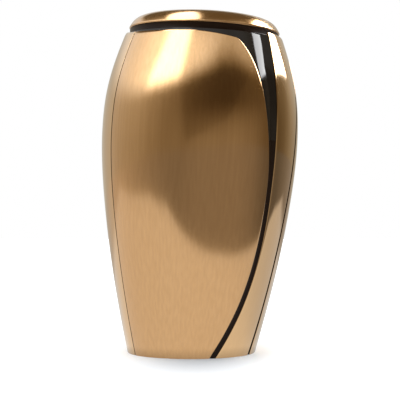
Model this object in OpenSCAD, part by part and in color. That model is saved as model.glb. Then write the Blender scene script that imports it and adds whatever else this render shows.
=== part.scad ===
// Cremation urn: a cast bronze vessel that leans slightly on a level foot, with a lift-off lid.
// Bronze panels stand proud of a black ground, which shows as a band under the lid at the front,
// as the tear and the ribbon that the band runs into, and as the two side seams. Azimuths are in degrees from the front (-Y) towards +X, and
// heights are in millimetres along the urn's own axis, from the centre of its foot.

/* [Body] */
// Widest outside diameter, over the panels
body_d = 160; // [130:1:190]
// Height from the foot to the rim, along the leaning axis
body_h = 261.4; // [230:0.2:320]
// Height of the widest place
widest_h = 175; // [140:1:200]
// Diameter of the foot
foot_d = 104; // [80:1:124]
// Diameter at the rim's height, on the line of the panels
rim_d = 125.6; // [104:0.2:130]
// Wall from the panels' face to the inside
wall = 4.5; // [3.5:0.1:6]
// Thickness of the floor
floor_t = 5; // [3:0.5:10]
// How far the axis leans to the right
lean = 2.5; // [0:0.1:4]

/* [Profile] */
// Outward flare of the wall at the foot
foot_flare = 14.4; // [0:0.2:25]
// How far the foot's straight run carries up, as a share of the lower height
foot_pull = 0.36; // [0.15:0.01:0.5]
// Roundness below the widest place, as a share of the lower height
lower_pull = 0.24; // [0.15:0.01:0.4]
// Roundness above the widest place, as a share of the upper height
upper_pull = 0.36; // [0.2:0.01:0.45]
// Inward slope of the wall at the rim
rim_slope = 20.6; // [10:0.2:40]
// How far the rim's straight run carries down, as a share of the upper height
rim_pull = 0.46; // [0.3:0.01:0.6]

/* [Rim] */
// Diameter of the upright neck that carries the lid
neck_d = 122; // [100:0.2:124]
// Height of the upright neck
neck_h = 4.4; // [2:0.1:6]
// Height of the shoulder below the neck
shoulder_h = 0.9; // [0.5:0.1:2]
// Width of the flat ring on top of the neck
rim_flat = 7; // [5:0.1:12]
// Thickness of the rim at the mouth
rim_lip = 5; // [3:0.5:8]
// Height of the groove between the lid and the side and back panels
panel_gap = 3; // [1:0.1:4]

/* [Ground] */
// Depth of the black ground below the panels
recess = 1.4; // [0.8:0.1:2]
// Azimuth of the ribbon's right edge over the upper body
ribbon_az = 48.4; // [30:0.2:60]
// How far the ribbon has swept towards the front at the foot
ribbon_sweep = 26; // [0:0.5:40]
// Height over which the ribbon sweeps
sweep_h = 128; // [60:1:160]
// Width of the ribbon below the tear
ribbon_w = 5.1; // [3:0.1:9]
// Height over which the ribbon opens into the tear, down from the front panel's top
tear_h = 117.5; // [60:0.5:140]
// Opening of the tear at the front panel's top
tear_open = 27.2; // [10:0.2:30]
// Outward turn of the tear's right edge at the front panel's top
tear_turn = 3.3; // [0:0.1:5]
// Height of the black band between the lid and the front panel
band_h = 7.2; // [5:0.1:16]
// How far the front panel's top falls on its way to the tear
corner_h = 4.5; // [2:0.5:14]
// Azimuth where the front panel's top is highest and starts to fall
fall_az = -7; // [-20:1:10]
// Azimuth of the black band's left end
band_end = -85; // [-100:1:-65]
// Width of the left seam
left_seam_w = 1.2; // [0.8:0.1:3]
// Width of the right seam
right_seam_w = 3.6; // [1:0.1:5]

/* [Lid] */
// Diameter of the lid
lid_d = 123.2; // [100:0.2:126]
// Height of the lid above the rim
lid_h = 13.5; // [9:0.5:20]
// Thickness of the lid's dome
lid_wall = 3; // [2:0.5:5]
// Radius on the lid's lower edge
lid_edge_r = 1.2; // [0.5:0.1:2]
// Inward slope of the lid's side
lid_slope = 26.4; // [10:0.2:50]
// Length of the lid's sloping side
lid_side = 12.2; // [6:0.2:14]
// Radius of the lid's flatter top
lid_top_r = 51; // [40:1:58]
// Depth of the ring that locates the lid in the mouth
spigot_h = 8; // [4:0.5:14]
// Thickness of the locating ring
spigot_t = 3; // [2:0.5:5]
// Clearance around the locating ring
lid_clearance = 0.3; // [0.2:0.05:0.6]

/* [Hidden] */
$fn = 180;
bronze = "#b98d58";
body_r = body_d / 2;
foot_r = foot_d / 2;
rim_r = rim_d / 2;
neck_r = neck_d / 2;
mouth_r = neck_r - rim_flat;
neck_foot = body_h - neck_h;
panel_top = body_h - band_h;
back_top = body_h - panel_gap;
tear_foot = panel_top - tear_h;
upper_h = body_h - widest_h;
// Length below the foot that the level foot plane trims off
trim = 2 * foot_r * sin(lean) + 1;
// Radii between which the slots between the panels are cut
near_r = mouth_r / 2;
far_r = body_r * 1.4;
// Azimuths that the seams follow, from the foot to the rim
seam_curve_left = [-58, -61, -63, -57];
seam_curve_right = [62, 74, 66, 88];
// How late the ribbon's sweep sets in on the way down
sweep_power = 2.85;
// The tear opens slowly with one share of its width, and late and fast with the rest
slow_share = 0.49;
slow_power = 1.4;
fast_power = 7.7;
turn_power = 4;
// How the front panel's top edge bends away from level, to the right and to the left
fall_power = 1.6;
end_power = 3;
curve_steps = 20;
slot_step = 8;

// Point at t on a cubic curve with the control values p
function cubic(p, t) = pow(1 - t, 3) * p[0] + 3 * t * pow(1 - t, 2) * p[1]
    + 3 * t * t * (1 - t) * p[2] + t * t * t * p[3];

function curve(p) = [for (i = [0:curve_steps]) cubic(p, i / curve_steps)];

function without_first(list) = [for (i = [1:len(list) - 1]) list[i]];

// Outside of the panels, as [radius, height], from below the foot to the rim
lower_curve = curve([
    [foot_r, 0],
    [foot_r + foot_pull * widest_h * sin(foot_flare), foot_pull * widest_h * cos(foot_flare)],
    [body_r, (1 - lower_pull) * widest_h],
    [body_r, widest_h]]);
upper_curve = curve([
    [body_r, widest_h],
    [body_r, widest_h + upper_pull * upper_h],
    [rim_r + rim_pull * upper_h * sin(rim_slope), body_h - rim_pull * upper_h * cos(rim_slope)],
    [rim_r, body_h]]);
outline = concat([[foot_r - trim * tan(foot_flare), -trim]], lower_curve, without_first(upper_curve));
radius_table = [for (p = outline) [p[1], p[0]]];

function radius(z) = lookup(z, radius_table);

// Share of the tear's height reached at height z, from 0 to 1
function tear_rise(z) = max(0, min(1, (z - tear_foot) / tear_h));

function ribbon_right(z) = ribbon_az - ribbon_sweep * pow(max(0, 1 - z / sweep_h), sweep_power)
    + tear_turn * pow(tear_rise(z), turn_power);

function ribbon_left(z) = ribbon_right(z) - ribbon_w / radius(z) * 180 / PI
    - tear_open * (slow_share * pow(tear_rise(z), slow_power)
        + (1 - slow_share) * pow(tear_rise(z), fast_power));

// Rows [height, left azimuth, right azimuth] of the black slot. It climbs as the ribbon and
// the tear to the front panel's corner. From there its left edge is the front panel's top,
// which climbs to its highest place and on round to the band's left end.
corner_foot = panel_top - corner_h;
corner_az = ribbon_left(corner_foot);
band_rows = concat(
    [for (k = [0:0.125:1]) [panel_top - corner_h * pow(1 - k, fall_power), corner_az + (fall_az - corner_az) * k]],
    [for (k = [0.3, 0.42, 0.55, 0.65, 0.75, 0.85, 0.93, 1])
        [panel_top + (back_top - panel_top) * pow(k, end_power), fall_az + (band_end - fall_az) * k]]);
slot_rows = concat(
    [for (z = [-trim:slot_step:corner_foot - slot_step / 2]) [z, ribbon_left(z), ribbon_right(z)]],
    [for (row = band_rows) [row[0], row[1], ribbon_right(row[0])]],
    [[body_h, band_end, ribbon_right(back_top)]]);

// Rows of a seam of width w that follows four azimuths from the foot to the rim
function seam_rows(azimuths, w) = [for (i = [0:curve_steps])
    let (t = i / curve_steps, z = -trim + t * (body_h + trim), half = w / radius(z) * 90 / PI)
        [z, cubic(azimuths, t) - half, cubic(azimuths, t) + half]];

function polar(r, azimuth, z) = [r * sin(azimuth), -r * cos(azimuth), z];

// One closed ring of a slot: out along the far radius and back along the near one
function slot_ring(row, parts) = concat(
    [for (k = [0:parts]) polar(far_r, row[1] + (row[2] - row[1]) * k / parts, row[0])],
    [for (k = [parts:-1:0]) polar(near_r, row[1] + (row[2] - row[1]) * k / parts, row[0])]);

// A slot cut straight in towards the axis, with an outline that follows the rows
module radial_slot(rows, parts) {
    n = 2 * (parts + 1);
    last = len(rows) - 1;
    polyhedron(
        points = [for (row = rows) each slot_ring(row, parts)],
        faces = concat(
            [[for (k = [0:n - 1]) k]],
            [for (i = [0:last - 1], k = [0:n - 1]) let (a = i * n + k, b = i * n + (k + 1) % n)
                each [[a, a + n, b + n], [a, b + n, b]]],
            [[for (k = [n - 1:-1:0]) last * n + k]]));
}

// The outline turned about the axis as far up as top, drawn in by inset
module turned(inset, top) {
    side = [for (p = outline) if (p[1] < top) [p[0] - inset, p[1]]];
    rotate_extrude()
        polygon(concat([[0, -trim]], side, [[radius(top) - inset, top], [0, top]]));
}

// The black ground: the body drawn in, with a shoulder and the upright neck on top
module ground() {
    turned(recess, neck_foot - shoulder_h);
    rotate_extrude()
        polygon([[0, neck_foot - shoulder_h], [radius(neck_foot - shoulder_h) - recess, neck_foot - shoulder_h],
            [neck_r, neck_foot], [neck_r, body_h], [0, body_h]]);
}

module panels() {
    difference() {
        turned(0, back_top);
        radial_slot(slot_rows, 8);
        radial_slot(seam_rows(seam_curve_left, left_seam_w), 1);
        radial_slot(seam_rows(seam_curve_right, right_seam_w), 1);
    }
}

// The hollow inside, up to the shoulder under the rim and out through the mouth
module cavity() {
    inside = [for (p = outline) if (p[1] <= panel_top - rim_lip) [p[0] - wall, p[1]]];
    rotate_extrude()
        polygon(concat(
            [[0, -trim]],
            inside,
            [[mouth_r, body_h - rim_lip], [mouth_r, body_h + 1], [0, body_h + 1]]));
}

// Everything below height z, level
module below(z) {
    translate([-far_r, -far_r, z - 4 * trim])
        cube([2 * far_r, 2 * far_r, 4 * trim]);
}

module body() {
    color(bronze)
        difference() {
            rotate([0, lean, 0])
                union() {
                    ground();
                    panels();
                }
            difference() {
                rotate([0, lean, 0])
                    cavity();
                below(floor_t);
            }
            below(0);
        }
}

lid_r = lid_d / 2;
spigot_r = mouth_r - lid_clearance;
spigot_inner_r = spigot_r - spigot_t;
dome = curve([
    [lid_r, lid_edge_r],
    [lid_r - lid_side * sin(lid_slope), lid_edge_r + lid_side * cos(lid_slope)],
    [lid_top_r, lid_h],
    [0, lid_h]]);

module lid() {
    edge = [for (turn = [0:15:75]) [lid_r - lid_edge_r * (1 - sin(turn)), lid_edge_r * (1 - cos(turn))]];
    under_dome = [for (p = dome) if (p[0] < spigot_inner_r) [p[0], p[1] - lid_wall]];
    rise = lookup(-spigot_inner_r, [for (p = dome) [-p[0], p[1]]]) - lid_wall;
    color(bronze)
        rotate([0, lean, 0])
            translate([0, 0, body_h])
                rotate_extrude()
                    polygon(concat(
                        [[spigot_inner_r, rise], [spigot_inner_r, -spigot_h], [spigot_r, -spigot_h],
                            [spigot_r, 0]],
                        edge,
                        dome,
                        [for (i = [len(under_dome) - 1:-1:0]) under_dome[i]]));
}

body();
lid();
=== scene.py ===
# %% [markdown]
# # A cast bronze cremation urn
# The urn is an ovoid vessel, cast in bronze, that leans a little to the right on a level foot.
# Bronze panels stand 1.4 mm proud of a black lacquered ground. The ground shows as a band under
# the lid at the front, as the tear and the ribbon that the band runs into, and as a seam on
# either side. A shallow domed lid rests on an upright neck.
#
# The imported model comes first, as a fixed frame: every piece made here has to fill its place.

# %% Load the frame
import math

import bmesh
import bpy
import numpy as np
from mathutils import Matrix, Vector


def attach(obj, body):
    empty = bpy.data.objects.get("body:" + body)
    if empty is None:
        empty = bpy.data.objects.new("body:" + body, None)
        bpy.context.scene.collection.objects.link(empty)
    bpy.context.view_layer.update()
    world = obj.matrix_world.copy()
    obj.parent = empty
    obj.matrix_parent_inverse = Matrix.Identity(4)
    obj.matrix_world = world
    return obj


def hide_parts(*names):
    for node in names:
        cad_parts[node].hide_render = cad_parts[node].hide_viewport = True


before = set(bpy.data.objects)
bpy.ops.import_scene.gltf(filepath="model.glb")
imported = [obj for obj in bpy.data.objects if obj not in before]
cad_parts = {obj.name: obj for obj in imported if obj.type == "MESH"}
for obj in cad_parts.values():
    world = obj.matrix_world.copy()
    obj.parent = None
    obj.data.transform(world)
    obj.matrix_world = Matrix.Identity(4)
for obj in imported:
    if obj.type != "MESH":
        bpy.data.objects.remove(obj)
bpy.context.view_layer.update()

# %% [markdown]
# ## The outline
# A turned vessel is one outline swung round an axis. The outline here is two cubic curves that
# meet upright at the widest place, so the wall has no corner there. All sizes are in
# millimetres along the urn's own axis, and one factor turns them to metres.

# %% Driving sizes
MM = 0.001
BODY_R = 80.0
BODY_H = 261.4
WIDEST_H = 175.0
FOOT_R = 52.0
RIM_R = 62.8
LEAN = math.radians(2.5)
RECESS = 1.4
WALL = 4.5
FLOOR = 5.0
NECK_R = 61.0
NECK_FOOT = BODY_H - 4.4
SHOULDER_FOOT = NECK_FOOT - 0.9
RIM_LIP = 5.0
MOUTH_R = NECK_R - 7.0
FRONT_TOP = BODY_H - 7.2
BACK_TOP = BODY_H - 3.0


def cubic(p, t):
    """The point at t on a cubic curve with the four control values p."""
    return (1 - t) ** 3 * p[0] + 3 * t * (1 - t) ** 2 * p[1] + 3 * t * t * (1 - t) * p[2] + t**3 * p[3]


# %% The outside of the panels
FOOT_FLARE = math.radians(14.4)
RIM_SLOPE = math.radians(20.6)
upper_h = BODY_H - WIDEST_H
foot_run = 0.36 * WIDEST_H
rim_run = 0.46 * upper_h
lower = np.array([
    (FOOT_R, 0),
    (FOOT_R + foot_run * math.sin(FOOT_FLARE), foot_run * math.cos(FOOT_FLARE)),
    (BODY_R, 0.76 * WIDEST_H),
    (BODY_R, WIDEST_H)])
upper = np.array([
    (BODY_R, WIDEST_H),
    (BODY_R, WIDEST_H + 0.36 * upper_h),
    (RIM_R + rim_run * math.sin(RIM_SLOPE), BODY_H - rim_run * math.cos(RIM_SLOPE)),
    (RIM_R, BODY_H)])
shares = np.linspace(0, 1, 200)
outline = np.array([cubic(lower, t) for t in shares] + [cubic(upper, t) for t in shares[1:]])
POLISH_LOSS = 0.03


def radius(h):
    """The panels' outside radius at height h, less what polishing took off."""
    if h < 0:
        return FOOT_R - POLISH_LOSS + h * math.tan(FOOT_FLARE)
    return float(np.interp(h, outline[:, 1], outline[:, 0])) - POLISH_LOSS


print("radius at foot, widest place and rim:", radius(0), radius(WIDEST_H), radius(BODY_H))

# %% [markdown]
# ## The lines on the surface
# The panels' edges are curves drawn on the outline, as an azimuth for each height. Azimuth 0 is
# the front, and it grows towards the right. The ribbon's right edge stands upright over the
# upper body and sweeps towards the front near the foot. Its left edge runs beside it and moves
# away from it towards the neck, which opens the tear.

# %% Where the panels end
RIBBON_W = 5.1
TEAR_H = 117.5
TEAR_OPEN = 27.2
SLOW_SHARE = 0.49
CORNER_H = 4.5
FALL_AZ = -7.0
BAND_END = -85.0
CORNER_FOOT = FRONT_TOP - CORNER_H


def tear_rise(h):
    """How far up the tear a height lies, from 0 at its foot to 1 at the front panel's top."""
    return min(1.0, max(0.0, (h - FRONT_TOP + TEAR_H) / TEAR_H))


def ribbon_right(h):
    """The azimuth of the ribbon's right edge at height h."""
    return 48.4 - 26.0 * max(0.0, 1 - h / 128) ** 2.85 + 3.3 * tear_rise(h) ** 4


def ribbon_left(h):
    """The azimuth of the ribbon's left edge, which runs away to the left up the tear."""
    rise = tear_rise(h)
    opening = SLOW_SHARE * rise ** 1.4 + (1 - SLOW_SHARE) * rise ** 7.7
    return ribbon_right(h) - math.degrees(RIBBON_W / radius(h)) - TEAR_OPEN * opening


def front_top(degrees):
    """The height of the front panel's top edge, and left of it of the black band's end."""
    if degrees > FALL_AZ:
        fall = min(1.0, (degrees - FALL_AZ) / (ribbon_left(CORNER_FOOT) - FALL_AZ))
        return FRONT_TOP - CORNER_H * fall ** 1.6
    rise = min(1.0, (FALL_AZ - degrees) / (FALL_AZ - BAND_END))
    return FRONT_TOP + (BACK_TOP - FRONT_TOP) * rise ** 3


def left_seam(h, side):
    """One side of the left seam, 1.2 mm wide: side is -1 for its left edge and 1 for its right."""
    return cubic((-58, -61, -63, -57), h / BODY_H) + side * math.degrees(0.6 / radius(h))


def right_seam(h, side):
    """One side of the right seam, which is three times as wide."""
    return cubic((62, 74, 66, 88), h / BODY_H) + side * math.degrees(1.8 / radius(h))


for h in (0, 100, 200, CORNER_FOOT):
    print("at", h, "mm the ribbon runs from", round(ribbon_left(h), 1), "to", round(ribbon_right(h), 1))

# %% [markdown]
# ## From lines to places
# A point of the body is an azimuth, a height and a depth below the panels' face. The foot is
# cut level although the axis leans, so heights near the foot are raised on one side and
# lowered on the other, and the correction fades out 40 mm up.

# %% Put a point on the body
LEVEL_SPAN = 40.0


def level(azimuth, h, r):
    """Height h, moved so that the foot lies level under the leaning axis."""
    drop = r * math.sin(azimuth) * math.tan(LEAN)
    return h + drop * max(0.0, 1 - h / LEVEL_SPAN)


def stand(r, azimuth, h):
    """A point at radius r round the leaning axis, in metres; the azimuth is in radians."""
    x, y = r * math.sin(azimuth), -r * math.cos(azimuth)
    return Vector((
        x * math.cos(LEAN) + h * math.sin(LEAN),
        y,
        h * math.cos(LEAN) - x * math.sin(LEAN))) * MM


def on_body(degrees, h, depth=0.0):
    """The place of a point that lies depth below the panels' face."""
    azimuth = math.radians(degrees)
    r = radius(level(azimuth, h, radius(h) - depth)) - depth
    return stand(r, azimuth, level(azimuth, h, r))


print("foot at the left and right:", on_body(-90, 0)[:], on_body(90, 0)[:])

# %% [markdown]
# ## Camera
# The camera stands a metre off at a little under half the urn's height and looks up by half a
# degree, so that the lid is seen from slightly below. A long lens keeps the sides nearly parallel.

# %% Camera
bpy.ops.object.camera_add(location=(0.0078, -1.0078, 0.1153), rotation=(math.radians(90.5), 0, 0))
camera = bpy.context.object
camera.name = "camera"
camera.data.lens = 110.6
camera.data.sensor_width = 36
camera.data.clip_start = 0.05
bpy.context.scene.camera = camera
print("camera at", camera.location[:], "lens", camera.data.lens, "mm")

# %% [markdown]
# ## Making a piece
# Every piece starts from a primitive with nothing else selected, is worked on in edit mode, and
# ends as a smooth, closed mesh whose object stays at the origin.


# %% Helpers for making and finishing a piece
def start_alone():
    """Leaves edit mode and deselects everything."""
    if bpy.context.object and bpy.context.object.mode != "OBJECT":
        bpy.ops.object.mode_set(mode="OBJECT")
    bpy.ops.object.select_all(action="DESELECT")


def apply_modifier(piece, kind, **settings):
    """Adds a modifier, sets it up and applies it."""
    modifier = piece.modifiers.new(kind.lower(), kind)
    for name, value in settings.items():
        setattr(modifier, name, value)
    bpy.context.view_layer.objects.active = piece
    bpy.ops.object.modifier_apply(modifier=modifier.name)


def finish_piece(piece, node, material, smooth_angle=40):
    """Shades a piece smooth, gives it its finish, parents it to the root and hides its CAD node."""
    start_alone()
    piece.select_set(True)
    bpy.context.view_layer.objects.active = piece
    bpy.ops.object.shade_smooth_by_angle(angle=math.radians(smooth_angle))
    piece.data.materials.clear()
    piece.data.materials.append(material)
    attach(piece, "root")
    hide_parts(node)
    print(piece.name, "has", len(piece.data.vertices), "vertices,", len(piece.data.polygons), "faces")
    return piece


# %% [markdown]
# ## Colours and nodes
# Colours are written as they look on a screen and turned to linear light by one function. One
# more function adds a node, sets it and links it.


# %% Helpers for materials
def linear(hex_colour):
    """An sRGB hex colour as linear RGBA."""
    parts = [int(hex_colour[i:i + 2], 16) / 255 for i in (1, 3, 5)]
    return tuple(c / 12.92 if c <= 0.04045 else ((c + 0.055) / 1.055) ** 2.4 for c in parts) + (1.0,)


def add_node(tree, kind, links=None, **settings):
    """Adds a node. Settings that name an input set its value; links map inputs to outputs."""
    node = tree.nodes.new(kind)
    for name, value in settings.items():
        if name in node.bl_rna.properties:
            setattr(node, name, value)
        else:
            node.inputs[name.replace("_", " ")].default_value = value
    for name, output in (links or {}).items():
        tree.links.new(output, node.inputs[name])
    return node


def new_material(name):
    """An empty material and its node tree."""
    material = bpy.data.materials.new(name)
    material.use_nodes = True
    material.node_tree.nodes.clear()
    return material, material.node_tree


# %% [markdown]
# ## Satin bronze
# The front panel is cast bronze, ground and then brushed upright with an abrasive belt under
# clear lacquer. The belt leaves hair-fine scratches about 0.1 mm apart, which blur what the
# metal mirrors. They are drawn 0.4 mm apart here, the finest that still shows, by noise that
# is drawn out along the urn's height. A coarser noise makes some bands of them a little darker.
# The clear lacquer is a coat on the shader.

# %% Satin bronze
SATIN = ("#DEB27D", "#D2A570")
POLISHED = ("#EBC695", "#E0B987")
STREAK_W = 0.4 * MM
STREAK_LENGTH = 1 / 7


def brushed_bronze(name, colours, streaks, roughness, spread, bump, contrast, across=0.0, along=0.0):
    """Bronze with a light and a dark colour in streaks; it mirrors more blurred across them."""
    material, tree = new_material(name)
    coordinates = streaks(tree)
    hair = add_node(tree, "ShaderNodeTexNoise", {"Vector": coordinates}, Scale=1.0, Detail=3.0,
                    Roughness=0.6)
    cloud = add_node(tree, "ShaderNodeTexNoise", {"Vector": coordinates}, Scale=0.22, Detail=3.0)
    streak = add_node(tree, "ShaderNodeMapRange", {"Value": cloud.outputs["Fac"]},
                      From_Min=0.35, From_Max=0.65)
    mix = add_node(tree, "ShaderNodeMath", {0: hair.outputs["Fac"], 1: streak.outputs["Result"]},
                   operation="ADD")
    share = add_node(tree, "ShaderNodeMath", {0: mix.outputs[0]}, operation="MULTIPLY")
    share.inputs[1].default_value = contrast
    tone = add_node(tree, "ShaderNodeMix", {"Factor": share.outputs[0]}, data_type="RGBA")
    tone.inputs["A"].default_value = linear(colours[1])
    tone.inputs["B"].default_value = linear(colours[0])
    rough = add_node(tree, "ShaderNodeMapRange", {"Value": hair.outputs["Fac"]}, From_Min=0.3,
                     From_Max=0.7, To_Min=roughness - spread, To_Max=roughness + spread)
    relief = add_node(tree, "ShaderNodeBump", {"Height": hair.outputs["Fac"]},
                      Strength=bump, Distance=0.00005)
    shader = add_node(tree, "ShaderNodeBsdfPrincipled", {
        "Base Color": tone.outputs["Result"], "Roughness": rough.outputs["Result"],
        "Normal": relief.outputs["Normal"]},
        Metallic=1.0, Anisotropic=across, Anisotropic_Rotation=along,
        Coat_Weight=1.0, Coat_Roughness=0.08, Coat_IOR=1.5)
    round_axis = add_node(tree, "ShaderNodeTangent", direction_type="RADIAL", axis="Z")
    tree.links.new(round_axis.outputs["Tangent"], shader.inputs["Tangent"])
    add_node(tree, "ShaderNodeOutputMaterial", {"Surface": shader.outputs["BSDF"]})
    return material


def upright_streaks(tree):
    """Coordinates in which noise is 0.4 mm across and 140 mm long, up the leaning axis."""
    place = add_node(tree, "ShaderNodeTexCoord")
    upright = add_node(tree, "ShaderNodeMapping", {"Vector": place.outputs["Object"]},
                       vector_type="TEXTURE")
    upright.inputs["Rotation"].default_value = (0, LEAN, 0)
    stretched = add_node(tree, "ShaderNodeVectorMath", {0: upright.outputs["Vector"]},
                         operation="MULTIPLY")
    stretched.inputs[1].default_value = (1 / STREAK_W, 1 / STREAK_W, 1 / STREAK_LENGTH)
    return stretched.outputs["Vector"]


satin_bronze = brushed_bronze("satin_brushed_bronze", SATIN, upright_streaks, 0.15, 0.03, 0.2, 0.5, 0.3)

# %% [markdown]
# ## Polished bronze
# The side panels and the back are the same casting, buffed to a near mirror. Buffing rounds off
# the scratches, so the roughness is low, and only slow waves of the casting are left.

# %% Polished bronze
polished_bronze = brushed_bronze("polished_bronze", POLISHED, upright_streaks, 0.08, 0.015, 0.04, 0.25)

# %% [markdown]
# ## Brushed lid
# The lid is brushed while it turns in a lathe, so its scratches are circles round its axis. The
# noise therefore reads the distance from the axis and the height finely, and the way round it
# only slowly.

# %% Brushed lid


def round_streaks(tree):
    """Coordinates in which noise is 0.4 mm across and runs round the lid's axis."""
    place = add_node(tree, "ShaderNodeTexCoord")
    upright = add_node(tree, "ShaderNodeMapping", {"Vector": place.outputs["Object"]},
                       vector_type="TEXTURE")
    upright.inputs["Rotation"].default_value = (0, LEAN, 0)
    parts = add_node(tree, "ShaderNodeSeparateXYZ", {"Vector": upright.outputs["Vector"]})
    flat = add_node(tree, "ShaderNodeCombineXYZ", {"X": parts.outputs["X"], "Y": parts.outputs["Y"]})
    away = add_node(tree, "ShaderNodeVectorMath", {0: flat.outputs["Vector"]}, operation="LENGTH")
    stacked = add_node(tree, "ShaderNodeCombineXYZ", {"X": away.outputs["Value"], "Y": parts.outputs["Z"]})
    stretched = add_node(tree, "ShaderNodeVectorMath", {0: stacked.outputs["Vector"]},
                         operation="SCALE", Scale=1 / STREAK_W)
    around = add_node(tree, "ShaderNodeVectorMath", {0: flat.outputs["Vector"]}, operation="NORMALIZE")
    slow = add_node(tree, "ShaderNodeVectorMath", {0: around.outputs["Vector"]},
                    operation="SCALE", Scale=2)
    total = add_node(tree, "ShaderNodeVectorMath", {
        0: stretched.outputs["Vector"], 1: slow.outputs["Vector"]})
    return total.outputs["Vector"]


lid_bronze = brushed_bronze("lathe_brushed_bronze", SATIN, round_streaks, 0.2, 0.03, 0.15, 0.5, 0.7, 0.25)

# %% [markdown]
# ## Black lacquer
# The ground between the panels is sprayed with a warm black stoving lacquer. It is glossy, so
# it shows a sharp, pale mirror of a lamp over a colour that is almost black.

# %% Black lacquer
black_lacquer, tree = new_material("black_stoving_lacquer")
place = add_node(tree, "ShaderNodeTexCoord")
peel = add_node(tree, "ShaderNodeTexNoise", {"Vector": place.outputs["Object"]}, Scale=700, Detail=1.0)
skin = add_node(tree, "ShaderNodeBump", {"Height": peel.outputs["Fac"]}, Strength=0.06, Distance=0.0001)
tint = add_node(tree, "ShaderNodeMix", {"Factor": peel.outputs["Fac"]}, data_type="RGBA")
tint.inputs["A"].default_value = linear("#15110D")
tint.inputs["B"].default_value = linear("#1C1713")
shader = add_node(tree, "ShaderNodeBsdfPrincipled", {
    "Base Color": tint.outputs["Result"], "Normal": skin.outputs["Normal"]}, Roughness=0.06, IOR=1.36)
add_node(tree, "ShaderNodeOutputMaterial", {"Surface": shader.outputs["BSDF"]})

# %% [markdown]
# ## Dull lacquer with painted shade
# The same lacquer, rougher and with a lower specular level, is put in the narrow grooves, on
# the panels' walls and on the neck and rim under the lid. It mirrors less, which keeps these
# places black between bright panels: this is painted shade for the grooves and the gap under the lid.

# %% Dull lacquer
dull_lacquer_painted_shade, tree = new_material("dull_stoving_lacquer_painted_shade")
place = add_node(tree, "ShaderNodeTexCoord")
dust = add_node(tree, "ShaderNodeTexNoise", {"Vector": place.outputs["Object"]}, Scale=500, Detail=2.0)
tint = add_node(tree, "ShaderNodeMix", {"Factor": dust.outputs["Fac"]}, data_type="RGBA")
tint.inputs["A"].default_value = linear("#140A04")
tint.inputs["B"].default_value = linear("#20130A")
shader = add_node(tree, "ShaderNodeBsdfPrincipled", {"Base Color": tint.outputs["Result"]}, Roughness=0.3,
                  Specular_IOR_Level=0.12)
add_node(tree, "ShaderNodeOutputMaterial", {"Surface": shader.outputs["BSDF"]})

# %% [markdown]
# ## Raw casting
# Inside, the casting is left as it came from the mould: darker, dull and slightly grainy.

# %% Raw casting
raw_casting, tree = new_material("raw_cast_bronze")
place = add_node(tree, "ShaderNodeTexCoord")
grain = add_node(tree, "ShaderNodeTexNoise", {"Vector": place.outputs["Object"]}, Scale=900, Detail=4.0)
skin = add_node(tree, "ShaderNodeBump", {"Height": grain.outputs["Fac"]}, Strength=0.4, Distance=0.0003)
tint = add_node(tree, "ShaderNodeMix", {"Factor": grain.outputs["Fac"]}, data_type="RGBA")
tint.inputs["A"].default_value = linear("#6B4A2C")
tint.inputs["B"].default_value = linear("#8D6740")
shader = add_node(tree, "ShaderNodeBsdfPrincipled", {
    "Base Color": tint.outputs["Result"], "Normal": skin.outputs["Normal"]}, Metallic=1.0, Roughness=0.55)
add_node(tree, "ShaderNodeOutputMaterial", {"Surface": shader.outputs["BSDF"]})

# %% [markdown]
# ## Turning
# The vessel and the lid are turned shapes: an outline is spun round the axis, as on a lathe. The
# outline starts as a strip of squares with one point for each point of the profile. Its upper
# row is deleted, and the row that is left is bent into the profile. It starts and ends on the
# axis, so merging the doubles after the spin closes both poles.


# %% Spin an outline
def turned(name, points, steps):
    """A closed mesh spun from points of (radius, height) in millimetres, round the upright axis."""
    start_alone()
    bpy.ops.mesh.primitive_grid_add(x_subdivisions=len(points) - 1, y_subdivisions=1, size=1)
    piece = bpy.context.object
    piece.name = piece.data.name = name
    bpy.ops.object.mode_set(mode="EDIT")
    mesh = bmesh.from_edit_mesh(piece.data)
    for vertex in mesh.verts:
        vertex.select_set(vertex.co.y > 0)
    mesh.select_flush_mode()
    bpy.ops.mesh.delete(type="VERT")
    mesh = bmesh.from_edit_mesh(piece.data)
    for vertex, (r, h) in zip(sorted(mesh.verts, key=lambda v: v.co.x), points):
        vertex.co = Vector((r, 0, h)) * MM
    bmesh.update_edit_mesh(piece.data)
    bpy.ops.mesh.select_all(action="SELECT")
    bpy.ops.mesh.spin(steps=steps, angle=math.tau, center=(0, 0, 0), axis=(0, 0, 1))
    bpy.ops.mesh.select_all(action="SELECT")
    bpy.ops.mesh.remove_doubles(threshold=0.001 * MM)
    bpy.ops.mesh.normals_make_consistent(inside=False)
    bpy.ops.object.mode_set(mode="OBJECT")
    return piece


# %% [markdown]
# ## The vessel
# The black ground and the inside are one turned wall. Its outside lies 1.4 mm behind the panels
# up to a narrow shoulder, from which the neck stands upright. Afterwards the columns round it
# are slid sideways so that they follow the ribbon. One column then lies along the crease of the
# tear, where the ground is pushed in, and to the right of it the ground slopes up to the panel.

# %% Spin the vessel
STEPS = 360
ground_heights = np.concatenate([np.linspace(0, 130, 50), np.linspace(130, SHOULDER_FOOT, 90)[1:]])
ground = [(radius(h) - RECESS, h) for h in ground_heights]
shoulder = [(ground[-1][0] - 0.35, SHOULDER_FOOT + 0.12), (NECK_R + 0.5, NECK_FOOT - 0.4),
            (NECK_R + 0.12, NECK_FOOT - 0.1), (NECK_R, NECK_FOOT + 0.4)]
rim = [(NECK_R, BODY_H - 0.4), (NECK_R - 0.4, BODY_H), (MOUTH_R + 0.5, BODY_H), (MOUTH_R, BODY_H - 0.5),
       (MOUTH_R, BODY_H - RIM_LIP)]
inside = [(radius(h) - WALL, h) for h in np.linspace(FRONT_TOP - RIM_LIP, FLOOR, 60)]
under_foot = [(r, 0) for r in np.linspace(0, ground[0][0], 7)[:-1]]
floor_disc = [(r, FLOOR) for r in np.linspace(inside[-1][0], 0, 7)[1:]]
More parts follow.
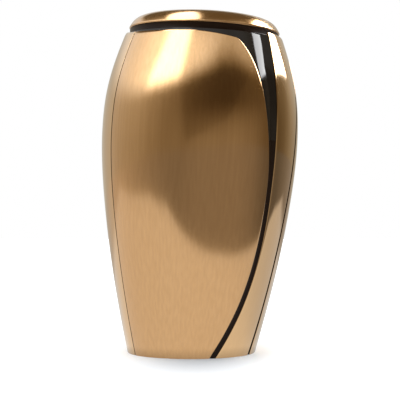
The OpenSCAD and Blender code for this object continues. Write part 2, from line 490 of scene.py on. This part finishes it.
vessel = turned("urn_ground", under_foot + ground + shoulder + rim + inside + floor_disc, STEPS)
print("the vessel has", len(vessel.data.vertices), "vertices")

# %% [markdown]
# The azimuths of the columns are a list that follows four lines: a little outside the ribbon's
# left edge, the crease, a little outside its right edge, and round the back to the start.

# %% Slide the columns to the ribbon
LEFT_COLUMNS = 24
RIGHT_COLUMNS = 16
MARGIN = 1.0
CREASE_DEPTH = 2.6
EDGE_DEPTH = 0.5
columns_by_height = {}


def crease(h):
    """The tear's crease, up to 7 degrees in from its right edge."""
    return ribbon_right(h) - min(7.0, 0.45 * (ribbon_right(h) - ribbon_left(h)))


def columns_at(h):
    """The azimuths of all columns at height h, kept so that each row is worked out once."""
    key = round(h, 3)
    if key not in columns_by_height:
        h = min(h, CORNER_FOOT)
        left, middle, right = ribbon_left(h) - MARGIN, crease(h), ribbon_right(h) + MARGIN
        back = STEPS - LEFT_COLUMNS - RIGHT_COLUMNS
        columns_by_height[key] = np.concatenate([
            np.linspace(left, middle, LEFT_COLUMNS, endpoint=False),
            np.linspace(middle, right, RIGHT_COLUMNS, endpoint=False),
            np.linspace(right, left + 360, back, endpoint=False)])
    return columns_by_height[key]


def ground_depth(degrees, h):
    """Depth of the ground below the panels: it sinks to the crease and rises to the right edge."""
    h = min(h, CORNER_FOOT)
    left, middle, right = ribbon_left(h), crease(h), ribbon_right(h)
    deep = RECESS + (CREASE_DEPTH - RECESS) * min(1.0, tear_rise(h) * 2.5)
    if left < degrees <= middle:
        return RECESS + (deep - RECESS) * ((degrees - left) / (middle - left)) ** 1.5
    if middle < degrees <= right:
        return deep + (EDGE_DEPTH - deep) * ((degrees - middle) / (right - middle)) ** 1.15
    return RECESS


for vertex in vessel.data.vertices:
    x, y, h = (c / MM for c in vertex.co)
    r = math.hypot(x, y)
    column = round(math.degrees(math.atan2(x, -y)) / (360 / STEPS)) % STEPS
    is_ground = h <= SHOULDER_FOOT + 0.01 and r > radius(h) - RECESS - 0.05
    is_neck = h > SHOULDER_FOOT + 0.01 and r > NECK_R - 0.5
    if is_ground:
        degrees = columns_at(h)[column]
        vertex.co = on_body(degrees, h, ground_depth(degrees, h))
    else:
        azimuth = math.radians(columns_at(h)[column] if is_neck or h < 0.01 else column)
        vertex.co = stand(r, azimuth, level(azimuth, h, r))
vessel.data.update()

# %% Finish the vessel
GLOSS_FOOT = 172.0
finish_piece(vessel, "body", black_lacquer, 30)
vessel.data.materials.append(raw_casting)
vessel.data.materials.append(satin_bronze)
vessel.data.materials.append(dull_lacquer_painted_shade)
for face in vessel.data.polygons:
    x, y, z = face.center / MM
    h = z * math.cos(LEAN) + x * math.sin(LEAN)
    r = math.hypot(x * math.cos(LEAN) - z * math.sin(LEAN), y)
    is_inside = z > 1 and h < BODY_H - 0.2 and r < min(radius(h) - WALL, MOUTH_R) + 1.2
    # The grooves below GLOSS_FOOT and the neck under the lid take the dull lacquer: painted shade.
    is_shaded_groove = h < GLOSS_FOOT or h > SHOULDER_FOOT + 0.05
    face.material_index = 1 if is_inside else 2 if z < 0.01 else 3 if is_shaded_groove else 0

# %% [markdown]
# ## The panels
# Each panel is a sheet of bronze laid on the outline. It starts as a flat grid, whose edges are
# sent to the panel's four border lines and whose inside is blended between them. The rows lie
# closer together near the top, where the sheet rolls over towards the neck, and the columns
# near its sides, which may be rolled in a little too. Solidify then gives it its thickness,
# down into the ground, and Bevel rounds its outer edges, as buffing does. The walls that this
# leaves line the grooves, so they are black like the ground. They are found by their normals,
# which stand nearly square to the way out from the axis.

# %% Lay a grid between four lines
ROLL_ROWS = np.array([0.9, 1.6, 2.3, 3.1, 4.0, 5.2])
PANEL_THICKNESS = RECESS + 1.0
EDGE_ROUND = 0.6
SIDE_COLUMNS = np.array([0.35, 0.75, 1.2, 1.7, 2.3])
SIDE_ROLL = 1.8
BEVEL_FROM = math.radians(50)
WALL_FACE = 0.35
BOTTOM_FACE = -0.7


def blend_between(lines, u, v):
    """The point at (u, v) of a sheet between four border lines of (azimuth, height)."""
    lower_line, upper_line, left_line, right_line = lines
    across = (1 - v) * lower_line(u) + v * upper_line(u)
    along = (1 - u) * left_line(v) + u * right_line(v)
    corners = ((1 - u) * (1 - v) * lower_line(0) + u * (1 - v) * lower_line(1)
               + (1 - u) * v * upper_line(0) + u * v * upper_line(1))
    return across + along - corners


def column_share(index, columns, width):
    """Where a column stands across a panel of that width: the outer ones lie close to its sides."""
    near = np.concatenate([[0], SIDE_COLUMNS]) / width
    if index < len(near):
        return near[index]
    if columns - index < len(near):
        return 1 - near[columns - index]
    return float(np.interp(index, (len(near) - 1, columns - len(near) + 1), (near[-1], 1 - near[-1])))


def rolled(distance, width, depth):
    """How deep a sheet lies at that distance from an edge that is rolled in."""
    near = max(0.0, 1 - distance / width)
    return depth * (1 - math.sqrt(1 - near * near))


def panel(name, lines, columns, rows, top_roll, side_rolls=(0.0, 0.0)):
    """A panel of the body. Its top is rolled in by top_roll(azimuth), a width and a depth, and
    its left and right sides by the two depths in side_rolls."""
    start_alone()
    bpy.ops.mesh.primitive_grid_add(x_subdivisions=columns, y_subdivisions=rows, size=1)
    piece = bpy.context.object
    piece.name = piece.data.name = name
    height = lines[2](1)[1]
    below = np.concatenate([[0], ROLL_ROWS / height])
    row_shares = np.concatenate([np.linspace(0, 1 - below[-1], rows + 2 - len(below)), 1 - below[-2::-1]])
    for vertex in piece.data.vertices:
        v = row_shares[round((vertex.co.y + 0.5) * rows)]
        (left, h), (right, _) = lines[2](v), lines[3](v)
        width = math.radians(right - left) * radius(h)
        u = column_share(round((vertex.co.x + 0.5) * columns), columns, width)
        degrees, h = blend_between(lines, u, v)
        depth = (rolled((1 - v) * height, *top_roll(degrees)) + rolled(u * width, SIDE_ROLL, side_rolls[0])
                 + rolled((1 - u) * width, SIDE_ROLL, side_rolls[1]))
        vertex.co = on_body(degrees, h, depth)
    piece.data.update()
    apply_modifier(piece, "SOLIDIFY", thickness=PANEL_THICKNESS * MM, offset=-1)
    apply_modifier(piece, "BEVEL", width=EDGE_ROUND * MM, segments=3, limit_method="ANGLE",
                   angle_limit=BEVEL_FROM)
    for vertex in piece.data.vertices:
        vertex.co.z = max(vertex.co.z, 0.0)
    piece.data.update()
    return piece


def blacken_walls(piece):
    """Gives the walls of a panel, which line the grooves, the dull black lacquer with its painted shade."""
    piece.data.materials.append(dull_lacquer_painted_shade)
    walls = 0
    for face in piece.data.polygons:
        outward = Vector((face.center.x, face.center.y, 0)).normalized()
        if abs(face.normal.dot(outward)) < WALL_FACE and face.normal.z > BOTTOM_FACE:
            face.material_index = 1
            walls += 1
    print(piece.name, "has", walls, "black wall faces")


def even_line(points):
    """A function that walks a line through points of (azimuth, height) at an even pace."""
    points = np.array(points, float)
    steps = np.diff(points, axis=0) * (math.radians(1) * BODY_R, 1)
    walked = np.concatenate([[0], np.cumsum(np.hypot(*steps.T))])
    walked /= walked[-1]
    return lambda t: np.array([np.interp(t, walked, points[:, 0]), np.interp(t, walked, points[:, 1])])


# %% [markdown]
# The front panel runs from the left seam to the ribbon. Its top right corner is ground round,
# and the right and top border lines meet half-way round it. Towards the left its top edge is
# rolled in more and more.

# %% The front panel
CORNER_CUT = 2.6
tip = np.array((ribbon_left(CORNER_FOOT), CORNER_FOOT))
below_tip = np.array((ribbon_left(CORNER_FOOT - CORNER_CUT), CORNER_FOOT - CORNER_CUT))
beside_az = tip[0] - math.degrees(CORNER_CUT / radius(CORNER_FOOT))
beside_tip = np.array((beside_az, front_top(beside_az)))


def corner_point(t):
    """A point on the rounded corner, from below the tip at 0 to beside it at 1."""
    return (1 - t) ** 2 * below_tip + 2 * t * (1 - t) * tip + t * t * beside_tip


def front_roll(degrees):
    """The roll of the top edge, which grows towards the left."""
    share = min(1.0, max(0.0, (-15 - degrees) / 45))
    return 1.0 + 4.0 * share, 1.0 * share


half_round = np.linspace(0, 0.5, 8)
left_top = left_seam(front_top(-57), 1)
front_panel = panel("front_panel", (
    even_line([(left_seam(0, 1), 0), (ribbon_left(0), 0)]),
    even_line([(a, front_top(a)) for a in np.linspace(left_top, beside_az, 100)]
              + [corner_point(1 - t) for t in half_round[1:]]),
    even_line([(left_seam(h, 1), h) for h in np.linspace(0, front_top(left_top), 120)]),
    even_line([(ribbon_left(h), h) for h in np.linspace(0, below_tip[1], 160)]
              + [corner_point(t) for t in half_round[1:]])), 90, 160, front_roll, (0.0, 0.45))
finish_piece(front_panel, "body", satin_bronze)
blacken_walls(front_panel)

# %% [markdown]
# The right panel lies between the ribbon and the right seam, and reaches up to the groove
# below the lid.

# %% The right panel


def back_roll(degrees):
    """The roll of the top edge, which fades out on the right panel's left half."""
    share = min(1.0, max(0.0, (degrees - 58) / 40))
    return 1.0 + 2.5 * share, 1.0 * share


heights = np.linspace(0, BACK_TOP, 120)
right_panel = panel("right_panel", (
    even_line([(ribbon_right(0), 0), (right_seam(0, -1), 0)]),
    even_line([(ribbon_right(BACK_TOP), BACK_TOP), (right_seam(BACK_TOP, -1), BACK_TOP)]),
    even_line([(ribbon_right(h), h) for h in heights]),
    even_line([(right_seam(h, -1), h) for h in heights])), 32, 160, back_roll, (0.4, 0.0))
finish_piece(right_panel, "body", polished_bronze)
blacken_walls(right_panel)

# %% [markdown]
# The back panel closes the ring from the right seam round to the left seam. Nothing is cut
# into it: the back is plain. Its top edge runs down to the left seam along the end of the
# black band.

# %% The back panel
right_top = right_seam(BACK_TOP, 1)
left_end = left_seam(front_top(-57), -1)
back_panel = panel("back_panel", (
    even_line([(right_seam(0, 1), 0), (left_seam(0, -1) + 360, 0)]),
    even_line([(a, front_top(a - 360) if a > 270 else BACK_TOP)
               for a in np.linspace(right_top, left_end + 360, 200)]),
    even_line([(right_seam(h, 1), h) for h in heights]),
    even_line([(left_seam(h, -1) + 360, h) for h in np.linspace(0, front_top(left_end), 120)])),
    150, 160, back_roll)
finish_piece(back_panel, "body", polished_bronze)
blacken_walls(back_panel)

# %% [markdown]
# ## The lid
# The lid is turned too: a rolled lower edge, a side that leans in and runs over into a nearly
# flat top, and underneath a ring that drops into the mouth. It is spun upright at the origin
# and then lifted onto the leaning rim.

# %% Spin the lid
LID_R = 61.6
LID_H = 13.5
EDGE_R = 1.2
LID_SLOPE = math.radians(26.4)
LID_SIDE = 12.2
LID_TOP_R = 51.0
LID_WALL = 3.0
SPIGOT_H = 8.0
spigot_r = MOUTH_R - 0.3
spigot_inner_r = spigot_r - 3.0
dome_curve = np.array([
    (LID_R, EDGE_R),
    (LID_R - LID_SIDE * math.sin(LID_SLOPE), EDGE_R + LID_SIDE * math.cos(LID_SLOPE)),
    (LID_TOP_R, LID_H),
    (0, LID_H)])
dome = [cubic(dome_curve, t) for t in np.linspace(0, 1, 48)]
edge = [(LID_R - EDGE_R * (1 - math.sin(math.radians(a))), EDGE_R * (1 - math.cos(math.radians(a))))
        for a in range(0, 90, 15)]
under = [(r, h - LID_WALL) for r, h in dome if r < spigot_inner_r]
locating_ring = [
    (spigot_inner_r, under[0][1]), (spigot_inner_r, 1 - SPIGOT_H), (spigot_inner_r + 0.6, -SPIGOT_H),
    (spigot_r - 0.6, -SPIGOT_H), (spigot_r, 0.6 - SPIGOT_H), (spigot_r, 0)]
lid = turned("lid_dome", under[::-1] + locating_ring + edge + dome, 256)
for vertex in lid.data.vertices:
    x, y, h = (c / MM for c in vertex.co)
    vertex.co = stand(math.hypot(x, y), math.atan2(x, -y), h + BODY_H - POLISH_LOSS)
lid.data.update()
finish_piece(lid, "lid", lid_bronze, 35)

# %% [markdown]
# ## Rings of tones
# What a round body mirrors depends mostly on the direction, so the studio is described by rings:
# lists of an azimuth and a value, read off by the direction from the urn, from the back at -180
# by the left and the front to the back again.

# %% Ring helper


def ring(tree, place, stops):
    """The value that a ring has in the direction of place, as an output."""
    parts = add_node(tree, "ShaderNodeSeparateXYZ", {"Vector": place})
    front = add_node(tree, "ShaderNodeMath", {0: parts.outputs["Y"]}, operation="MULTIPLY")
    front.inputs[1].default_value = -1
    turn = add_node(tree, "ShaderNodeMath", {0: parts.outputs["X"], 1: front.outputs[0]},
                    operation="ARCTAN2")
    share = add_node(tree, "ShaderNodeMapRange", {"Value": turn.outputs[0]},
                     From_Min=-math.pi, From_Max=math.pi)
    ramp = add_node(tree, "ShaderNodeValToRGB", {"Fac": share.outputs["Result"]})
    elements = ramp.color_ramp.elements
    for element, (azimuth, value) in zip(elements, (stops[0], stops[-1])):
        element.position, element.color = (azimuth + 180) / 360, (value, value, value, 1)
    for azimuth, value in stops[1:-1]:
        elements.new((azimuth + 180) / 360).color = (value, value, value, 1)
    return ramp.outputs["Color"]


# %% [markdown]
# ## The stage
# The urn stands on a white table. Metal has no colour of its own to show but what it mirrors,
# so the room around it matters more than the light on it. The table is drawn into the floor's
# material for mirror rays only: straight edges bound it, beyond them the floor is dim and warm,
# and close to the foot it is darkened by painted shade. For the camera the floor is plain white.
# It keeps the urn's soft shadow from the lamp, and a painted shadow darkens it further in a soft
# oval round the foot, which reaches further to the front and back than to the sides.

# %% Floor
start_alone()
bpy.ops.mesh.primitive_plane_add(size=8)
floor = bpy.context.object
floor.name = "floor"
floor_white, tree = new_material("white_table")
place = add_node(tree, "ShaderNodeTexCoord").outputs["Object"]


def beyond_line(normal, distance, soft):
    """1 beyond a straight line on the floor, whose normal points away from the table."""
    dot = add_node(tree, "ShaderNodeVectorMath", {0: place}, operation="DOT_PRODUCT")
    dot.inputs[1].default_value = normal + (0,)
    edge = add_node(tree, "ShaderNodeMapRange", {"Value": dot.outputs["Value"]},
                    interpolation_type="SMOOTHSTEP", From_Min=distance - soft, From_Max=distance + soft)
    return edge.outputs["Result"]


DUSK_ON_TABLE = 0.5
TABLE_EDGES = (
    ((0.467, -0.884), 0.261, 0.035), ((0.628, -0.778), 0.257, 0.035), ((0.859, -0.511), 0.45, 0.08),
    ((-0.096, -0.995), 0.476, 0.12), ((-0.671, -0.741), 0.761, 0.2), ((0.0, 1.0), 0.45, 0.3))
off_table = beyond_line(*TABLE_EDGES[0])
for line in TABLE_EDGES[1:]:
    widest = add_node(tree, "ShaderNodeMath", {0: off_table, 1: beyond_line(*line)}, operation="MAXIMUM")
    off_table = widest.outputs[0]
dusk_share = add_node(tree, "ShaderNodeMath", {0: off_table}, operation="MAXIMUM")
dusk_share.inputs[1].default_value = DUSK_ON_TABLE
mirror_rays = add_node(tree, "ShaderNodeLightPath").outputs["Is Glossy Ray"]
dark_mirrored = add_node(tree, "ShaderNodeMath", {0: dusk_share.outputs[0], 1: mirror_rays},
                         operation="MULTIPLY")
print("the table has", len(TABLE_EDGES), "edges")

# %% [markdown]
# What the camera sees of the floor: white, with a painted shadow that makes it darker in a soft oval round
# the foot.

# %% The floor that the camera sees
GLOW = 0.5
# Painted shadow: an oval round the foot, in which the floor turns a cool grey and its glow fades.
painted_shadow_oval = add_node(tree, "ShaderNodeMapping", {"Vector": place})
painted_shadow_oval.inputs["Location"].default_value = (-0.04, 0, 0)
painted_shadow_oval.inputs["Scale"].default_value = (11, 3.9, 1)
out = add_node(tree, "ShaderNodeVectorMath", {0: painted_shadow_oval.outputs["Vector"]}, operation="LENGTH")
clear = add_node(tree, "ShaderNodeMapRange", {"Value": out.outputs["Value"]},
                 interpolation_type="SMOOTHSTEP")
table = add_node(tree, "ShaderNodeMix", {"Factor": clear.outputs["Result"]}, data_type="RGBA")
table.inputs["A"].default_value = linear("#B9C0C8")
table.inputs["B"].default_value = linear("#EAEDEF")
matt = add_node(tree, "ShaderNodeBsdfDiffuse", {"Color": table.outputs["Result"]})
# The painted shadow dims the glow too: it is full only outside the oval.
glow_outside_painted_shadow = add_node(tree, "ShaderNodeMath", {0: clear.outputs["Result"]}, operation="MULTIPLY")
glow_outside_painted_shadow.inputs[1].default_value = GLOW
glow = add_node(tree, "ShaderNodeEmission", {"Strength": glow_outside_painted_shadow.outputs[0]}, Color=linear("#FFFFFF"))
lit = add_node(tree, "ShaderNodeAddShader", {0: matt.outputs[0], 1: glow.outputs[0]})

# %% [markdown]
# What the urn mirrors of the floor: the table, brightest at the front, and the dusk beyond it.
# Half of the dusk's tone is mixed over the table too, so the table is given in brighter tones
# than it shows.

# %% The floor that the urn mirrors
dusk_tone = ring(tree, place, (
    (-180, 0.5), (-150, 0.5), (-125, 0.64), (-107, 0.6), (-90, 0.5), (-80, 0.45), (-62, 0.36), (-44, 0.29),
    (-26, 0.26), (0, 0.31), (46, 0.32), (64, 0.27), (85, 0.15), (104, 0.13), (120, 0.2), (140, 0.3),
    (160, 0.42), (180, 0.5)))
dusk = add_node(tree, "ShaderNodeEmission", {"Strength": dusk_tone}, Color=linear("#FFF0DC"))
table_tone = ring(tree, place, (
    (-180, 0.8), (-125, 0.98), (-107, 1.1), (-80, 1.24), (-62, 1.36), (-44, 1.44), (-26, 1.5), (0, 1.46),
    (46, 1.4), (73, 1.32), (100, 1.15), (130, 0.95), (180, 0.8)))
from_axis = add_node(tree, "ShaderNodeVectorMath", {0: place}, operation="LENGTH")
foot_shade = add_node(tree, "ShaderNodeMapRange", {"Value": from_axis.outputs["Value"]},
                      From_Min=0.051, From_Max=0.066, To_Min=0.55, To_Max=1.0)
shaded_table = add_node(tree, "ShaderNodeMath", {0: table_tone, 1: foot_shade.outputs["Result"]},
                        operation="MULTIPLY")
mirrored_table = add_node(tree, "ShaderNodeEmission", {"Strength": shaded_table.outputs[0]},
                          Color=linear("#FFFDFA"))
near = add_node(tree, "ShaderNodeMixShader", {
    0: mirror_rays, 1: lit.outputs[0], 2: mirrored_table.outputs[0]})
surface = add_node(tree, "ShaderNodeMixShader", {
    0: dark_mirrored.outputs[0], 1: near.outputs[0], 2: dusk.outputs[0]})
add_node(tree, "ShaderNodeOutputMaterial", {"Surface": surface.outputs[0]})
floor.data.materials.append(floor_white)
print("the floor's material has", len(tree.nodes), "nodes")

# %% [markdown]
# ## The room
# The world is a plain white backdrop for the camera and an even soft light for the floor. For
# mirror rays it is a studio. First come a few helpers that join values and bound a lamp by
# planes through the urn.

# %% Helpers for the room
world = bpy.data.worlds.new("studio")
bpy.context.scene.world = world
world.use_nodes = True
tree = world.node_tree
tree.nodes.clear()
rays = add_node(tree, "ShaderNodeLightPath")
direction = add_node(tree, "ShaderNodeTexCoord").outputs["Generated"]
z = add_node(tree, "ShaderNodeSeparateXYZ", {"Vector": direction}).outputs["Z"]


def combine(operation, first, second):
    """Joins two values, either of which may be a plain number."""
    node = add_node(tree, "ShaderNodeMath", operation=operation)
    for socket, value in zip(node.inputs, (first, second)):
        if isinstance(value, (int, float)):
            socket.default_value = value
        else:
            tree.links.new(value, socket)
    return node.outputs[0]


def soft_step(value, low, high):
    """Rises smoothly from 0 at low to 1 at high."""
    node = add_node(tree, "ShaderNodeMapRange", {"Value": value}, interpolation_type="SMOOTHSTEP",
                    From_Min=low, From_Max=high)
    return node.outputs["Result"]


def behind_plane(normal, soft):
    """1 for directions on the side of a plane that its normal points to."""
    dot = add_node(tree, "ShaderNodeVectorMath", {0: direction}, operation="DOT_PRODUCT")
    dot.inputs[1].default_value = normal
    return soft_step(dot.outputs["Value"], -soft, soft)


def softbox(planes, soft, radiance):
    """A flat lamp bounded by planes, as bright as radiance, 1 being white."""
    inside = 1.0
    for normal in planes:
        inside = combine("MULTIPLY", inside, behind_plane(normal, soft))
    return combine("MULTIPLY", inside, radiance)


# %% [markdown]
# The studio is built from rings of tones round the urn: one near the horizon and one above it
# for the walls, and one for the big softbox overhead. Two more rings say how high that
# softbox's lower edge and its upper edge lie, and one bounds a dimmer part of the wall.

# %% Walls and the big softbox
DIMMER = 0.3
TOP_TONE = 0.15
low_tone = ring(tree, direction, (
    (-180, 0.62), (-165, 0.55), (-145, 0.52), (-125, 0.58), (-98, 0.5), (-80, 0.46), (-62, 0.37),
    (-44, 0.29), (-20, 0.27), (0, 0.32), (46, 0.33), (64, 0.26), (80, 0.17), (104, 0.125), (115, 0.17),
    (130, 0.29), (140, 0.33), (152, 0.33), (162, 0.42), (180, 0.62)))
high_tone = ring(tree, direction, (
    (-180, 0.5), (-145, 0.55), (-116, 0.62), (-80, 0.54), (-62, 0.42), (-44, 0.3), (-26, 0.22), (-8, 0.15),
    (10, 0.105), (32, 0.09), (50, 0.105), (64, 0.12), (80, 0.13), (104, 0.16), (120, 0.22), (134, 0.45),
    (150, 0.55), (180, 0.5)))
key_tone = ring(tree, direction, (
    (-180, 0.15), (-150, 0.25), (-125, 0.5), (-107, 0.62), (-92, 0.88), (-80, 1.15), (-66, 1.35),
    (-40, 1.3), (-16, 1.25), (-4, 1.27), (10, 1.12), (28, 0.88), (46, 0.65), (62, 0.7), (76, 0.5),
    (90, 0.2), (180, 0.15)))
key_edge = ring(tree, direction, (
    (-180, 0.3), (-116, 0.3), (-80, 0.35), (-62, 0.4), (-44, 0.445), (-26, 0.495), (-8, 0.56),
    (10, 0.605), (28, 0.65), (46, 0.615), (62, 0.54), (76, 0.47), (90, 0.45), (104, 0.55), (180, 0.4)))
top_edge = ring(tree, direction, (
    (-180, 0.5), (-125, 0.58), (-107, 0.68), (-90, 0.77), (90, 0.77), (150, 0.6), (180, 0.5)))
dim_edge = ring(tree, direction, (
    (-180, 0.9), (-30, 0.9), (-17, 0.0), (1, 0.05), (19, 0.085), (30, 0.115), (37, 0.16), (46, 0.29),
    (55, 0.37), (64, 0.45), (80, 0.9), (180, 0.9)))
low_part = combine("SUBTRACT", 1.0, soft_step(z, 0.0, 0.26))
walls = combine("ADD", combine("MULTIPLY", low_tone, low_part),
                combine("MULTIPLY", high_tone, combine("SUBTRACT", 1.0, low_part)))
dimmed = combine("MULTIPLY", soft_step(combine("SUBTRACT", z, dim_edge), -0.01, 0.01), DIMMER)
walls = combine("MULTIPLY", walls, combine("SUBTRACT", 1.0, dimmed))
above_key = combine("SUBTRACT", z, key_edge)
key = combine("MULTIPLY", key_tone, soft_step(above_key, -0.12, 0.08))
below_top = combine("SUBTRACT", 1.0, soft_step(combine("SUBTRACT", z, top_edge), -0.05, 0.05))
above_top = combine("SUBTRACT", 1.0, below_top)
sky = combine("ADD", combine("MULTIPLY", combine("ADD", walls, key), below_top),
              combine("MULTIPLY", above_top, TOP_TONE))
print("the walls and the softbox take", len(tree.nodes), "nodes")

# %% [markdown]
# The big softbox has a bright core on its left, with one shape for the side of the urn and one
# for the lid. A narrower and much stronger softbox stands high on the right: the lacquer shows
# it as a pale streak. Dim tones are made warmer, as wood and skin and shade are.

# %% Lamps that are mirrored
RIGHT_SIDE = (-0.824, 0.536, 0.185)
ROOM_LIGHT = (1.05, 1.05, 1.05, 1)
core = softbox(((0.176, -0.923, -0.342), RIGHT_SIDE), 0.07, 2.5)
core = combine("MULTIPLY", core, soft_step(above_key, -0.075, 0.075))
overhead = softbox(((0.622, -0.627, 0.4), RIGHT_SIDE, (-1.0, 0.0, -0.05)), 0.05, 4.0)
core = combine("ADD", combine("MULTIPLY", core, below_top), combine("MULTIPLY", overhead, above_top))
side = softbox((
    (-0.07, 0.998, 0.0), (0.695, -0.719, 0.0), (-0.375, 0.033, 0.927), (0.608, 0.337, -0.719)), 0.015, 13.0)
tone = combine("ADD", sky, combine("ADD", core, side))
warm = combine("MINIMUM", tone, 1.0)
mirrored = add_node(tree, "ShaderNodeCombineColor", {
    "Red": tone, "Green": combine("MULTIPLY", tone, combine("POWER", warm, 0.15)),
    "Blue": combine("MULTIPLY", tone, combine("POWER", warm, 0.45))})
seen = add_node(tree, "ShaderNodeMix", {
    0: rays.outputs["Is Glossy Ray"], "B": mirrored.outputs["Color"]}, data_type="RGBA")
seen.inputs["A"].default_value = ROOM_LIGHT
whole = add_node(tree, "ShaderNodeMix", {
    0: rays.outputs["Is Camera Ray"], "A": seen.outputs["Result"]}, data_type="RGBA")
whole.inputs["B"].default_value = (1, 1, 1, 1)
background = add_node(tree, "ShaderNodeBackground", {"Color": whole.outputs["Result"]}, Strength=1.0)
add_node(tree, "ShaderNodeOutputWorld", {"Surface": background.outputs[0]})
print("the world has", len(tree.nodes), "nodes")

# %% [markdown]
# ## Light on the table
# One lamp overhead gives the table a soft shadow round the foot. Metal doesn't mirror it,
# because the studio above already stands for it.

# %% Lamp
bpy.ops.object.light_add(type="AREA", location=(-0.4, -0.5, 1.7))
lamp = bpy.context.object
lamp.name = "room_light"
lamp.rotation_euler = (math.radians(-17), math.radians(-13), 0)
lamp.data.size = 1.2
lamp.data.energy = 5
lamp.visible_camera = False
lamp.visible_glossy = False
print("lamp of", lamp.data.energy, "watts at", lamp.location[:])

# %% [markdown]
# ## Finish
# The view is left plain.

# %% Finish
bpy.context.scene.view_settings.view_transform = "Standard"
